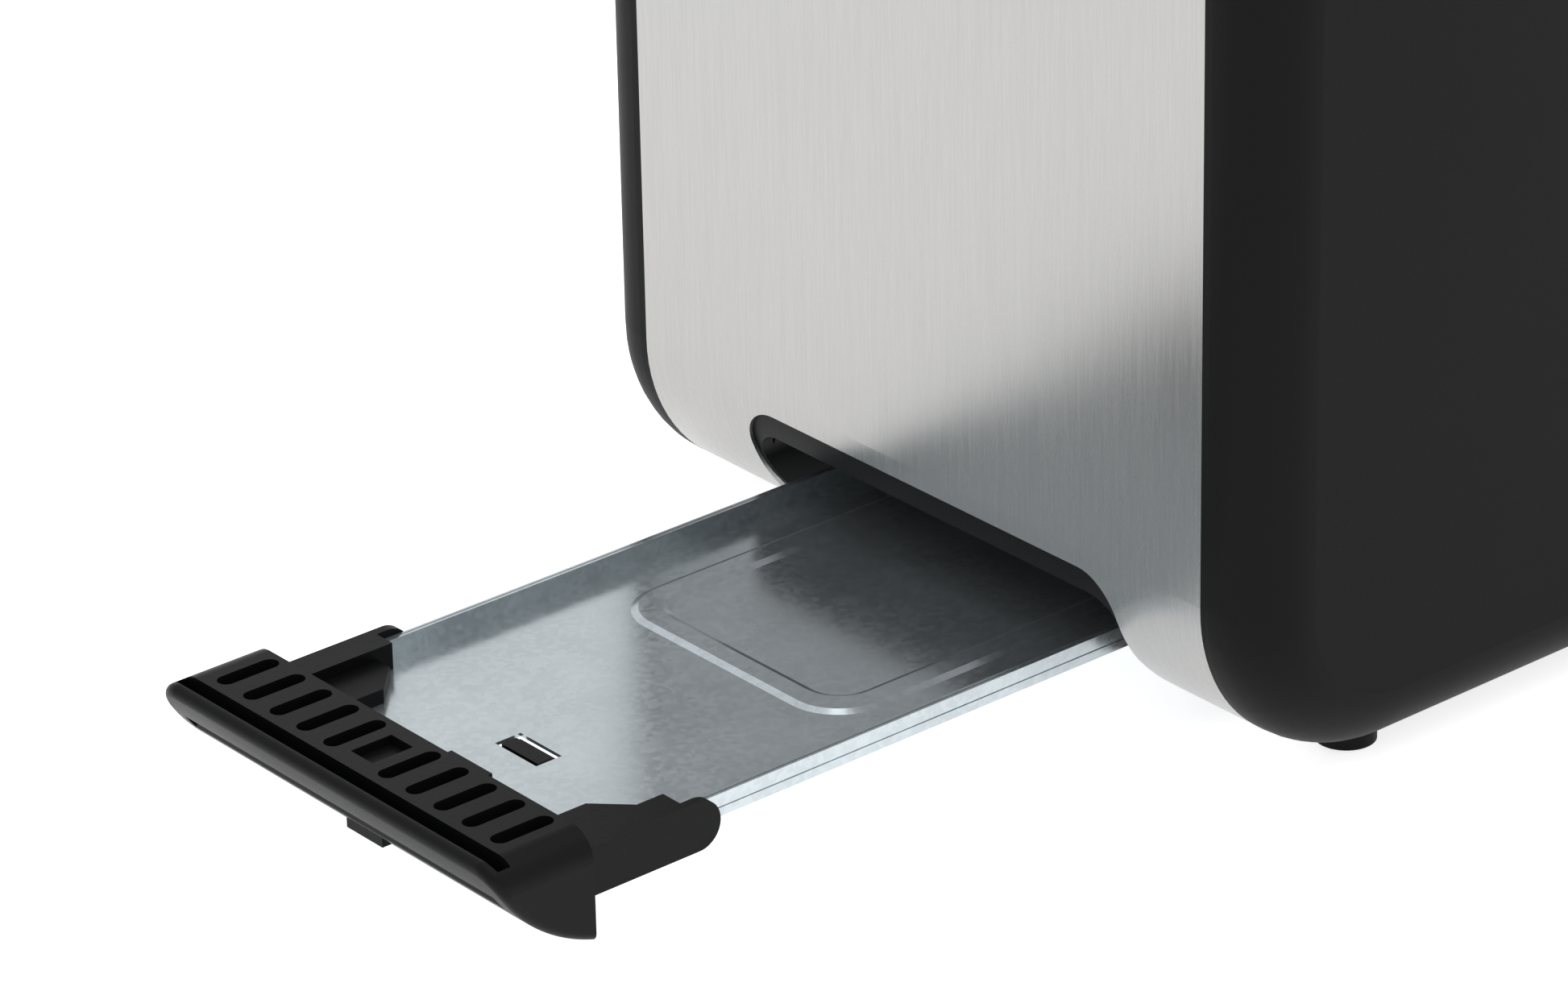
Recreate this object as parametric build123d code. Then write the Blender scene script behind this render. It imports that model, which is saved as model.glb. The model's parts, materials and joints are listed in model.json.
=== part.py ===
"""Two-slice pop up toaster with a pull-out crumb tray, as separate parts.

Millimetres. X runs along the toaster with the crumb tray at -X and the lever at +X,
-Y is the near side, +Z is up and Z = 0 is the plane that the feet stand on.
The tray is modelled pulled out and the bread carriage up.
"""
from build123d import *
import math
import os

os.makedirs("parts", exist_ok=True)

# ---- overall sizes ----
body_length = 286.0
body_height = 190.0
shell_width = 138.6      # brushed steel between the two side panels
panel_depth = 13.6       # each plastic side panel beyond the steel
ground_gap = 4.0         # under the body
corner_radius = 32.0     # lower corners of the end outline
top_radius = 36.0        # upper corners of the end outline
panel_edge = 12.0        # rounding of a side panel's outer edge
sheet = 0.7              # steel cover thickness
seam_gap = 0.3           # between the top cover and each end cover
lap = 4.0                # lap strip under each seam
panel_wall = 2.4
clearance = 0.3          # between parts that move past each other
snug = 0.1               # between parts that only sit together

# ---- tray opening and bezel ----
tray_offset = -2.0       # tray centre line from the body centre line
opening_width = 91.6
opening_top = 32.6       # height of the opening's upper edge
opening_corner = 7.6
opening_flare = 4.5      # how far the opening widens at the bottom
bezel_wall = 2.2
bezel_width = 88.8 + 2 * 0.7
bezel_top = 27.6
bezel_depth = 31.0

# ---- crumb tray and its handle ----
tray_pull = 127.0        # how far the tray is pulled out in this pose
tray_width = 77.6
tray_under = 14.8        # height of the tray's underside
tray_sheet = 0.6
tray_rim = 4.0
tray_hem = 1.2
tray_front = -19.0       # front and back ends when the tray is home, from the end face
tray_back = 74.0 - body_length
bead_length = 84.0
bead_width = 57.6
bead_band = 6.0
bead_height = 0.5
bead_slope = 68.0        # lean of the bead's sides from upright, degrees
bead_front = -83.0       # front run of the bead when home
latch_hole = (5.2, 10.6)
latch_hole_place = (-42.2, -2.1)
handle_width = 88.0
handle_top = 24.4
handle_back = -22.1
handle_end_round = 5.0
lip_wall = 2.3
lip_bottom = 18.0        # lower edge of the lip between the two end cheeks
lip_round = 1.5
groove_back = -7.6       # finger groove between the lip and the grip plate
channel_bottom = 11.2
cheek = 4.0
grip_slot = (11.6, 3.2)
grip_slot_pitch = 7.07
grip_slot_depth = 5.4
grip_recess = (8.0, 5.6)
arm_end = -50.0
arm_top = 20.1
arm_bottom = 11.4

# ---- bread slots, chamber and mechanism ----
slot_length = body_length - 140.0
slot_width = 30.0
slot_centre = 31.0       # from the body's centre line
slot_middle = 10.0 - body_length / 2     # middle of the chamber from the tray end face
chamber_length = body_length - 116.0
plate = 1.0              # chassis sheet
chassis_half = 66.0
chassis_top_height = body_height - 9.0
reflector_place = 63.0
card_place = 57.0
card_thickness = 0.8
card_bottom = 36.0
card_top = body_height - 22.0
ribbon = (2.4, 0.3)
ribbon_runs = 10
wire_radius = 1.0
guard_open = 14.0        # guard wires from the slot's centre, carriage up
guard_closed = 8.0
guard_bottom = 40.0
guard_top = body_height - 18.0
guard_wires = 7
lift_travel = 70.0
lift_height = 100.0      # bread rest height, carriage up
lift_width = 10.0
rod_radius = 3.0
rod_gap = 0.08           # running clearance on the guide rod
rod_place = 50.0 - body_length
rod_tab_height = body_height - 40.0
magnet_side = 26.0
lever_side = -24.0
lever_height = 138.0

# ---- controls on the lever end ----
fascia_thickness = 3.0
fascia_half = 46.0
fascia_low = 46.0
fascia_high = 154.0
window_margin = 6.0
control_side = 20.0
dial_height = 76.0
dial_radius = 15.0
shaft_radius = 3.0
button_heights = (106.0, 122.0, 138.0)
button_names = ("cancel_button", "reheat_button", "defrost_button")
button_size = (14.0, 9.0)
button_travel = 1.5
board_place = 24.0 - body_length
board_thickness = 1.6
lever_knob_size = (14.0, 30.0, 12.0)
stem = (2.0, 8.0)
gland_side = 58.0
gland_height = 62.0
gland_radius = 6.0
cord_bore = 3.6

# ---- feet and base ----
foot_place = -33.5
foot_side = 68.6
boss_radius = 5.2
boss_height = 3.0
pad_radius = 3.4
base_thickness = 1.8
base_half = 70.0
base_inset = 37.0

half_length = body_length / 2
half_shell = shell_width / 2
lever_reach = fascia_thickness + 0.8 + lever_knob_size[0]
lip_drop = ground_gap + corner_radius - handle_top + lip_round
lip_reach = ((corner_radius - lip_round) ** 2 - lip_drop ** 2) ** 0.5
lip_setback = corner_radius - lip_reach - lip_round
origin_shift = (tray_pull - lip_setback - lever_reach) / 2


def out(distance):
    """X of a place measured outwards from the tray end face."""
    return -half_length - distance


def pulled(distance):
    """X of a tray feature, given by its place when the tray is home."""
    return out(distance + tray_pull)


def block(x, y, z):
    """Box between pairs of limits, in any order."""
    size = [abs(b - a) for a, b in (x, y, z)]
    middle = [(a + b) / 2 for a, b in (x, y, z)]
    return Pos(*middle) * Box(*size)


def round_block(inset, y):
    """The toaster's end outline, drawn in by inset, between two Y limits."""
    body = block(
        (inset - half_length, half_length - inset), y,
        (ground_gap + inset, body_height - inset),
    )
    low = body.edges().filter_by(Axis.Y).group_by(Axis.Z)[0]
    body = fillet(low, corner_radius - inset)
    high = body.edges().filter_by(Axis.Y).group_by(Axis.Z)[-1]
    return fillet(high, top_radius - inset)


def along_x(x, y, z, radius, length):
    """Cylinder that starts at x and runs towards +X."""
    return Pos(x, y, z) * Rot(0, 90, 0) * Cylinder(
        radius, length, align=(Align.CENTER, Align.CENTER, Align.MIN)
    )


def along_y(x, y, z, radius, length):
    """Cylinder centred on y."""
    return Pos(x, y, z) * Rot(90, 0, 0) * Cylinder(radius, length)


def upright(x, y, z, radius, length):
    """Cylinder that stands on z."""
    return Pos(x, y, z) * Cylinder(
        radius, length, align=(Align.CENTER, Align.CENTER, Align.MIN)
    )


def arch(width, top, corner, flare, x):
    """Opening tool: flat top, rounded upper corners, open below, flared at the foot."""
    half = width / 2
    low = ground_gap - 6
    outline = Polyline(
        (tray_offset - half - flare, low), (tray_offset - half, top / 2),
        (tray_offset - half, top), (tray_offset + half, top),
        (tray_offset + half, top / 2), (tray_offset + half + flare, low), close=True,
    )
    face = Plane.YZ * make_face(outline)
    tool = Pos(min(x), 0, 0) * extrude(face, abs(x[1] - x[0]))
    edges = tool.edges().filter_by(Axis.X).group_by(Axis.Z)[-1]
    return fillet(edges, corner)


def slots(tool_width, tool_length, z):
    """Both bread slots as upright rounded boxes."""
    x = out(slot_middle)
    tools = []
    for side in (-1, 1):
        tool = block(
            (x - tool_length / 2, x + tool_length / 2),
            (side * slot_centre - tool_width / 2, side * slot_centre + tool_width / 2), z,
        )
        tools.append(fillet(tool.edges().filter_by(Axis.Z), 3))
    return tools


def window():
    """Control opening in the lever end of the shell."""
    margin = window_margin
    return block(
        (half_length - 5, half_length + 5),
        (margin - fascia_half, fascia_half - margin),
        (fascia_low + margin, fascia_high - margin),
    )


def steel_skin():
    """The whole steel skin over the two ends and the top, before it is parted at the seams."""
    width = (-half_shell, half_shell)
    shell = round_block(0, width) - round_block(sheet, (-half_shell - 1, half_shell + 1))
    shell -= block(
        (base_inset - half_length, half_length - base_inset),
        (-half_shell - 1, half_shell + 1), (0, 20),
    )
    shell -= arch(opening_width, opening_top, opening_corner, opening_flare,
                  (out(5), out(-base_inset - 1)))
    for tool in slots(slot_width + 3.2, slot_length + 3.2, (body_height - 5, body_height + 5)):
        shell -= tool
    shell -= window()
    return shell - along_x(half_length - 3, gland_side, gland_height, gland_radius, 6)


def end_cover(way):
    """Steel end cover with both bends and the lap strip that carries the top cover."""
    seam = half_length - top_radius
    edge = way * (half_length + 1)
    skin = steel_skin() & block((way * (half_length - base_inset - 1), edge),
                                (-half_shell, half_shell), (0, body_height + 1))
    skin -= block((way * (half_length - base_inset - 2), way * seam),
                  (-half_shell - 1, half_shell + 1), (body_height / 2, body_height + 1))
    under = body_height - sheet
    return skin + block((way * (seam - lap), way * (seam + lap)),
                        (lap - half_shell, half_shell - lap), (under - sheet, under))


def top_cover():
    """Flat steel top between the end covers, with the two bread slots."""
    reach = half_length - top_radius - seam_gap
    return steel_skin() & block((-reach, reach), (-half_shell, half_shell),
                                (body_height - 2 * sheet, body_height + 1))


def side_panel(side):
    """Hollow plastic side panel with rounded outer edges and screw bosses."""
    inner = side * half_shell
    outer = side * (half_shell + panel_depth)
    skin = round_block(0, (inner, outer))
    rim = skin.faces().sort_by(Axis.Y)[-1 if side > 0 else 0].edges()
    skin = fillet(rim, panel_edge)
    hollow_end = outer - side * panel_wall
    hollow = round_block(panel_wall, (inner - side, hollow_end))
    rim = hollow.faces().sort_by(Axis.Y)[-1 if side > 0 else 0].edges()
    skin -= fillet(rim, panel_edge - panel_wall)
    for x, z in panel_screw_places():
        start = side * (chassis_half + plate)
        end = hollow_end + side * 0.6
        boss = along_y(x, (start + end) / 2, z, 3.5, abs(end - start))
        skin += boss
        skin -= along_y(x, start + side * 5, z, 1.5, 10)
    return skin


def panel_screw_places():
    front = out(chamber_length / 2 + slot_middle)
    back = out(slot_middle - chamber_length / 2)
    return [(x, z) for x in (front + 8, back - 8) for z in (34.0, 150.0)]


def panel_screws():
    """Screws from the chassis flanges into the side panels."""
    screws = []
    for side in (-1, 1):
        for x, z in panel_screw_places():
            start = side * (chassis_half + plate)
            shank = along_y(x, start + side * 4, z, 1.5, 8)
            neck = along_y(x, start - side * 0.5, z, 1.5, 1.0)
            head = along_y(x, start - side * (plate + 0.8), z, 3.0, 1.6)
            screws.append(shank + neck + head)
    return Compound(screws)


def tray_bezel():
    """Plastic frame behind the tray opening, with the tunnel that the handle closes into."""
    near = tray_offset - bezel_width / 2 - 9
    far = tray_offset + bezel_width / 2 + 9
    gap = sheet + snug
    frame = round_block(gap, (near, far)) - round_block(gap + bezel_wall, (near - 1, far + 1))
    frame &= block((out(1), out(-base_inset)), (near, far), (0, opening_top + 9))
    half = bezel_width / 2 + bezel_wall
    tunnel = block(
        (out(-6), out(-bezel_depth)), (tray_offset - half, tray_offset + half),
        (ground_gap + 1.5, bezel_top + bezel_wall),
    )
    tunnel &= round_block(gap + 0.1, (near, far))
    frame += tunnel
    cut = arch(bezel_width, bezel_top, opening_corner - 1.5, 0.0, (out(5), out(-60)))
    return frame - cut


def crumb_tray():
    """Galvanised tray: floor, hemmed rims, a raised bead and the handle's latch hole."""
    x = (pulled(tray_front), pulled(tray_back))
    half = tray_width / 2
    top = tray_under + tray_sheet
    tray = block(x, (tray_offset - half, tray_offset + half), (tray_under, top))
    for side in (-1, 1):
        edge = tray_offset + side * half
        rim_x = (pulled(handle_back - clearance), x[1])
        tray += block(rim_x, (edge, edge - side * tray_hem), (tray_under, tray_under + tray_rim))
        fold = edge - side * tray_hem / 2
        tray -= block(rim_x, (edge, edge - side * 0.25), (tray_under + 1.5, tray_under + 1.75))
        tray -= block(rim_x, (fold - 0.1, fold + 0.1),
                      (tray_under + tray_rim - 0.3, tray_under + tray_rim + 1))
    tray += block((x[1], x[1] - tray_hem), (tray_offset - half, tray_offset + half),
                  (tray_under, tray_under + tray_rim))
    tray += tray_bead(top)
    hole_x, hole_y = latch_hole_place
    hole_x = pulled(hole_x)
    return tray - block(
        (hole_x - latch_hole[0] / 2, hole_x + latch_hole[0] / 2),
        (hole_y + tray_offset - latch_hole[1] / 2, hole_y + tray_offset + latch_hole[1] / 2),
        (tray_under - 1, top + 1),
    )


def tray_bead(top):
    """Low raised band with sloping sides, pressed round the middle of the tray floor."""
    middle = (pulled(bead_front) + pulled(bead_front - bead_length)) / 2
    outer = extrude(RectangleRounded(bead_length, bead_width, 10), bead_height, taper=bead_slope)
    run = 2 * bead_band
    opening = RectangleRounded(bead_length - run, bead_width - run, 6)
    spread = 2 * bead_height * math.tan(math.radians(bead_slope))
    mouth = RectangleRounded(bead_length - run + spread, bead_width - run + spread, 6 + spread / 2)
    pocket = extrude(mouth, -bead_height, taper=bead_slope)
    band = outer - Pos(0, 0, bead_height) * pocket - extrude(opening, bead_height)
    return Pos(middle, tray_offset, top) * band


def handle_side(side):
    """One side arm with its rim cover and the chamfered tongue on the tray floor."""
    def y(distance):
        return tray_offset + side * distance
    half = tray_width / 2
    outside = half + 1.8
    inside = half + snug
    top = tray_under + tray_sheet
    start = pulled(handle_back + 1)
    radius = (arm_top - arm_bottom) / 2
    arm = block((start, pulled(arm_end + radius)), (y(inside), y(outside)), (arm_bottom, arm_top))
    middle = (y(inside) + y(outside)) / 2
    arm += along_y(pulled(arm_end + radius), middle, (arm_top + arm_bottom) / 2,
                   radius, abs(outside - inside))
    cover_end = pulled(arm_end + 6.7)
    rim_top = tray_under + tray_rim + snug
    arm += block((start, cover_end), (y(half - 4.1), y(outside)), (rim_top, arm_top))
    arm += block((start, cover_end), (y(half - 4.1), y(half - tray_hem - snug)), (top, arm_top))
    tongue = block((start, pulled(arm_end + 9.7)), (y(half - 12.8), y(half - 4.0)), (top, 18.0))
    corner = tongue.edges().filter_by(Axis.Z).group_by(Axis.X)[-1]
    corner = corner.sort_by(Axis.Y)[0 if side > 0 else -1]
    return arm + chamfer(corner, 5.5)


def grip_block():
    """Handle body, cut to the toaster's own lower corner so that it closes flush."""
    half = handle_width / 2
    y = (-half, half)
    body = round_block(0, y) & block((out(1), out(handle_back)), y, (ground_gap, handle_top))
    ends = body.edges().filter_by(Axis.X).group_by(Axis.Z)[-1]
    body = fillet(ends, handle_end_round)
    front = body.edges().filter_by(Axis.Y).group_by(Axis.Z)[-1].sort_by(Axis.X)[0]
    body = fillet(front, lip_round)
    inner = half - lip_wall
    hollow = block((out(groove_back - lip_wall), out(handle_back - 1)), (-inner, inner), (0, 17.5))
    body -= hollow & round_block(lip_wall, (-inner, inner))
    body -= block((out(1), out(groove_back)), (cheek - half, half - cheek), (0, lip_bottom))
    body -= block((out(1), out(handle_back - 1)), (cheek - half, half - cheek), (0, channel_bottom))
    groove = block((out(groove_back), out(0)), (2 - half, half - 2), (lip_bottom, handle_top + 1))
    return body - (groove & round_block(lip_wall, (-half, half)))


def tray_handle():
    """Plastic handle that clips on the tray's front edge."""
    body = grip_block()
    middle = (groove_back + handle_back) / 2 - 0.25
    for index in range(-5, 6):
        y = index * grip_slot_pitch
        if index == 0:
            size, depth = grip_recess, 1.6
            cut = Box(size[0], size[1], 2 * depth)
        else:
            size, depth = grip_slot, grip_slot_depth
            cut = extrude(SlotOverall(*size), depth, both=True)
        body -= Pos(out(middle), y, handle_top) * cut
    tab = block((out(handle_back), out(handle_back - 0.8)), (-18.0, -7.7),
                (handle_top - 3.0, handle_top))
    body += tab
    body = Pos(-tray_pull, tray_offset, 0) * body
    for side in (-1, 1):
        body += handle_side(side)
    return body + latch_tongue()


def latch_tongue():
    """Tongue under the tray floor, joined to the handle's cross wall, hooked in the hole."""
    hole_x, hole_y = latch_hole_place
    y = (hole_y + tray_offset - 4.6, hole_y + tray_offset + 4.6)
    root = pulled(groove_back - lip_wall + 0.5)
    under = block((root, pulled(hole_x - 2.0)), y, (channel_bottom + 0.4, tray_under))
    hook = block((pulled(hole_x + 1.8), pulled(hole_x - 1.2)), y,
                 (tray_under - 0.1, tray_under + 0.5))
    return under + hook


def tray_rails():
    """Two steel ledges that the tray slides on, on posts from the base."""
    rails = []
    for side in (-1, 1):
        web = tray_offset + side * (tray_width / 2 + 1.8)
        lip = tray_offset + side * (tray_width / 2 - 4.0)
        x = (out(-53), out(slot_middle - chamber_length / 2))
        ledge = tray_under - clearance
        rail = block(x, (web, lip), (ledge - 1.0, ledge))
        rail += block(x, (web, web + side * 1.0), (ledge - 1.0, ledge + 7.0))
        for share in (0.08, 0.5, 0.92):
            post = x[0] + share * (x[1] - x[0])
            rail += block((post - 5, post + 5), (web, web + side * 1.0), (ground_gap, ledge))
        rails.append(rail)
    return Compound(rails)


def bread_slot_trim(side):
    """Folded steel ring round one bread slot."""
    x = out(slot_middle)
    y = side * slot_centre
    outer = RectangleRounded(slot_length + 8.4, slot_width + 8.4, 5)
    skirt = RectangleRounded(slot_length + 2.4, slot_width + 2.4, 3.6)
    clear = RectangleRounded(slot_length, slot_width, 2.4)
    rim = extrude(outer - clear, 1.2)
    rim = fillet(rim.edges().group_by(Axis.Z)[-1].sort_by(SortBy.LENGTH)[-4:], 0.5)
    depth = body_height - chassis_top_height - plate
    ring = Pos(0, 0, -depth) * extrude(skirt - clear, depth)
    return Pos(x, y, body_height) * (rim + ring)


def chassis_plate(x, front):
    """Upright steel end plate with screw flanges, wire slots and lift slots."""
    inward = 1 if front else -1
    half = chassis_half
    panel = block((x, x - inward * plate), (-half, half), (ground_gap, chassis_top_height))
    for side in (-1, 1):
        for z in (34.0, 150.0):
            panel += block((x - inward * plate, x + inward * 14),
                           (side * half, side * (half + plate)), (z - 7, z + 7))
    if front:
        reach = tray_width / 2 + 4
        panel -= block((x - 2, x + 2), (tray_offset - reach, tray_offset + reach),
                       (0, bezel_top))
    else:
        panel -= block((x - 2, x + 2), (-44, 44), (0, 8))
    for z in (guard_bottom, guard_top):
        for place, toward in guard_places():
            low = place - toward * 1.6
            high = place + toward * (guard_open - guard_closed + 1.6)
            panel -= block((x - 3, x + 3), (low, high), (z - 1.6, z + 1.6))
    for side in (-1, 1):
        if front:
            break
        panel -= block((x - 3, x + 3), (side * slot_centre - 1.6, side * slot_centre + 1.6),
                       (lift_height - lift_travel - 11, lift_height + 3))
    return panel


def screw_relief(panel, x, inward):
    """Holes in a chassis plate's flanges for the panel screws."""
    for side in (-1, 1):
        for z in (34.0, 150.0):
            panel -= along_y(x + inward * 8, side * (chassis_half + plate / 2), z, 1.5, 3)
    return panel


def chassis_front():
    x = out(slot_middle + chamber_length / 2)
    return screw_relief(chassis_plate(x, True), x, 1)


def chassis_rear():
    """Rear end plate with the tab that holds the top of the guide rod."""
    x = out(slot_middle - chamber_length / 2)
    panel = screw_relief(chassis_plate(x, False), x, -1)
    tab = block((x, out(rod_place) + 8), (-18, 18), (rod_tab_height, rod_tab_height + 1.2))
    tab -= upright(out(rod_place), 0, rod_tab_height - 1, rod_radius, 4)
    return panel + tab


def chamber_x():
    return (out(slot_middle + chamber_length / 2), out(slot_middle - chamber_length / 2))


def chassis_top():
    """Steel top plate that ties the chassis and carries the slot rings."""
    x = chamber_x()
    top = block((x[0] - plate, x[1] + plate), (-chassis_half, chassis_half),
                (chassis_top_height, chassis_top_height + plate))
    for tool in slots(slot_width, slot_length, (chassis_top_height - 2, chassis_top_height + 3)):
        top -= tool
    return top


def reflector(side):
    """Bright sheet outside the outer heater."""
    return block(chamber_x(), (side * reflector_place, side * (reflector_place + 0.6)),
                 (ground_gap + 4, chassis_top_height))


def heater_card(y):
    """Mica card with notched ends, held between the chassis plates."""
    x = chamber_x()
    card = block(x, (y - card_thickness / 2, y + card_thickness / 2), (card_bottom, card_top))
    pitch = ribbon_pitch()
    for index in range(ribbon_runs):
        z = card_bottom + pitch * (index + 1)
        for end, way in ((x[0], 1), (x[1], -1)):
            card -= block((end + way * 6, end + way * 8), (y - 1, y + 1), (z - 1.6, z + 1.6))
    return card


def ribbon_pitch():
    return (card_top - card_bottom) / (ribbon_runs + 1)


def element(y, faces):
    """Resistance ribbon wound to and fro across a card's face."""
    x = chamber_x()
    pitch = ribbon_pitch()
    left = x[0] + 9
    right = x[1] - 9
    wide, thick = ribbon
    solids = []
    for face in faces:
        near = y + face * card_thickness / 2
        depth = (near, near + face * thick)
        run = None
        for index in range(ribbon_runs):
            z = card_bottom + pitch * (index + 1)
            strip = block((left, right), depth, (z - wide / 2, z + wide / 2))
            run = strip if run is None else run + strip
            if index < ribbon_runs - 1:
                turn = left if index % 2 else right - wide
                run += block((turn, turn + wide), depth, (z, z + pitch))
        solids.append(run)
    return solids[0] if len(solids) == 1 else Compound(solids)


def guard_places():
    """Y of each guard with the carriage up, and the way it moves to close."""
    places = []
    for side in (-1, 1):
        for toward in (-1, 1):
            places.append((side * slot_centre - toward * guard_open, toward))
    return places


def bread_guard(y):
    """Wire guard that closes on the bread."""
    x = chamber_x()
    guard = None
    for z in (guard_bottom, guard_top):
        wire = along_x(x[0] - 2.5, y, z, wire_radius, chamber_length + 5)
        guard = wire if guard is None else guard + wire
    pitch = chamber_length / (guard_wires + 1)
    for index in range(guard_wires):
        guard += upright(x[0] + pitch * (index + 1), y, guard_bottom, wire_radius,
                         guard_top - guard_bottom)
    return guard


def bread_lifter(side):
    """Bread rest with a raised web and end tab through the rear plate."""
    x = chamber_x()
    y = side * slot_centre
    end = out(rod_place) - 12
    rest = block((x[0] + 3, x[1] - 3), (y - lift_width / 2, y + lift_width / 2),
                 (lift_height - 1.2, lift_height))
    rest += block((x[0] + 3, end), (y - 0.6, y + 0.6), (lift_height - 9, lift_height - 0.6))
    for index in range(9):
        place = x[0] + 15 + index * 17.5
        rest -= block((place - 4, place + 4), (y + 1.6, y + 3.6),
                      (lift_height - 2, lift_height + 1))
        rest -= block((place - 4, place + 4), (y - 1.6, y - 3.6),
                      (lift_height - 2, lift_height + 1))
    return rest


def carriage():
    """Steel bracket with the bush that slides on the guide rod."""
    face = out(rod_place) - 12
    bracket = block((face, face + 1.5), (-36, 36), (lift_height - 20, lift_height + 4))
    low = lift_height - 18
    bracket += upright(out(rod_place), 0, low, 5.5, 22)
    bracket += block((face, out(rod_place)), (-4, 4), (low, low + 22))
    bracket += block((face, out(rod_place) + 4), (0, 16), (lift_height, lift_height + 4))
    return bracket - upright(out(rod_place), 0, low - 1, rod_radius + rod_gap, 30)


def latch_plate():
    """Iron keeper that the electromagnet holds down."""
    face = out(rod_place) - 10.5
    return block((face, out(rod_place) + 9), (magnet_side - 7, magnet_side + 7),
                 (lift_height + 1.2, lift_height + 2.8))


def lever_arm():
    """Steel strip from the carriage up and out through the end."""
    face = out(rod_place) - 10.5
    half = stem[0] / 2
    y = (lever_side - half, lever_side + half)
    low = lever_height - stem[1] / 2
    arm = block((face, face + 9), y, (lift_height - 16, lever_height + stem[1] / 2))
    return arm + block((face, half_length + fascia_thickness + 5), y, (low, low + stem[1]))


def lever_knob():
    """Push-down lever knob."""
    x = half_length + fascia_thickness + 0.8
    deep, wide, high = lever_knob_size
    knob = block((x, x + deep), (lever_side - wide / 2, lever_side + wide / 2),
                 (lever_height - high / 2, lever_height + high / 2))
    knob = fillet(knob.edges().filter_by(Axis.X), 4)
    knob = fillet(knob.faces().sort_by(Axis.X)[-1].edges(), 2)
    half = stem[0] / 2
    return knob - block((x - 1, half_length + fascia_thickness + 5),
                        (lever_side - half, lever_side + half),
                        (lever_height - stem[1] / 2, lever_height + stem[1] / 2))


def guide_rod():
    return upright(out(rod_place), 0, ground_gap, rod_radius, rod_tab_height + 3 - ground_gap)


def lift_spring():
    """Extension spring from the carriage to the rod tab."""
    low = lift_height + 4
    height = rod_tab_height - low
    coil = Helix(pitch=4.6, height=height - 1.6, radius=2.6)
    wire = sweep(Plane(coil @ 0, z_dir=coil % 0) * Circle(0.45), path=coil, is_frenet=True)
    return Pos(out(rod_place), 12, low + 0.8) * wire


def electromagnet_core():
    """Iron core and yoke under the latch plate."""
    x = out(rod_place) + 2
    top = lift_height + 1.2 - lift_travel - 0.4
    yoke = block((x - 9, x + 9), (magnet_side - 7, magnet_side + 7), (ground_gap, ground_gap + 2))
    return yoke + upright(x, magnet_side, ground_gap + 2, 3.0, top - ground_gap - 2)


def electromagnet_coil():
    """Wound bobbin round the core."""
    x = out(rod_place) + 2
    low = ground_gap + 2
    coil = upright(x, magnet_side, low + 1.5, 6.5, 17)
    coil += upright(x, magnet_side, low, 7.5, 1.5)
    coil += upright(x, magnet_side, low + 18.5, 7.5, 1.5)
    return coil - upright(x, magnet_side, low - 1, 3.0, 30)


def base_plate():
    """Plastic bottom cover with vents, foot bosses and the guide rod's socket."""
    x = (base_inset - half_length, half_length - base_inset)
    low = ground_gap - base_thickness
    base = block(x, (-base_half, base_half), (low, ground_gap))
    base = fillet(base.edges().filter_by(Axis.Z), 6)
    for fx, fy in foot_places():
        base += upright(fx, fy, ground_gap - boss_height, boss_radius, boss_height)
    base += upright(out(rod_place), 0, ground_gap - 0.1, 6, 6)
    base -= upright(out(rod_place), 0, ground_gap, rod_radius, 10)
    for fx, fy in foot_places():
        base -= upright(fx, fy, ground_gap - boss_height - 1, pad_radius - 1.2, 3.0)
    for index in range(7):
        vent_y = (index - 3) * 9.0
        for place in (-75.0, 75.0):
            base -= Pos(place, vent_y, low - 1) * extrude(SlotOverall(30, 3.2), 5)
    return base


def foot_places():
    reach = half_length + foot_place
    return [(sx * reach, sy * foot_side) for sx in (-1, 1) for sy in (-1, 1)]


def foot_pads():
    """Rubber pads with plugs pressed into the foot bosses."""
    pads = []
    for x, y in foot_places():
        low = ground_gap - boss_height
        pad = upright(x, y, 0, pad_radius, low)
        pad = fillet(pad.edges().group_by(Axis.Z)[0], 0.5)
        pads.append(pad + upright(x, y, low, pad_radius - 1.2, 2.0))
    return Compound(pads)


def control_fascia():
    """Plastic face on the lever end, with the posts that carry the board."""
    x = (half_length, half_length + fascia_thickness)
    face = block(x, (-fascia_half, fascia_half), (fascia_low, fascia_high))
    face = fillet(face.edges().filter_by(Axis.X), 9)
    face = fillet(face.faces().sort_by(Axis.X)[-1].edges(), 1)
    low = lever_height - lift_travel - stem[1] / 2 - 2
    face -= block((x[0] - 1, x[1] + 1), (lever_side - 2, lever_side + 2),
                  (low, lever_height + stem[1] / 2 + 2))
    face -= along_x(x[0] - 1, control_side, dial_height, shaft_radius + clearance, 8)
    for z in button_heights:
        face -= block((x[0] - 1, x[1] + 1),
                      (control_side - button_size[0] / 2 - clearance,
                       control_side + button_size[0] / 2 + clearance),
                      (z - button_size[1] / 2 - clearance, z + button_size[1] / 2 + clearance))
        face -= along_x(x[0] - 1, control_side + 13, z, 1.5, 8)
    start = out(board_place) + board_thickness
    for y, z in post_places():
        face += along_x(start, y, z, 3.2, x[0] - start + 0.5)
        face -= along_x(start - 1, y, z, 1.2, 9)
    return face


def post_places():
    return [(y, z) for y in (-3.0, 35.0) for z in (58.0, 144.0)]


def control_board():
    """Circuit board behind the fascia."""
    x = (out(board_place), out(board_place) + board_thickness)
    board = block(x, (-8, 43), (fascia_low + 7, fascia_high - 7))
    for y, z in post_places():
        board -= along_x(x[0] - 1, y, z, 1.2, 4)
    return board


def board_screws():
    screws = []
    start = out(board_place)
    for y, z in post_places():
        screws.append(along_x(start, y, z, 1.2, 8) + along_x(start - 1.4, y, z, 2.4, 1.4))
    return Compound(screws)


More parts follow.
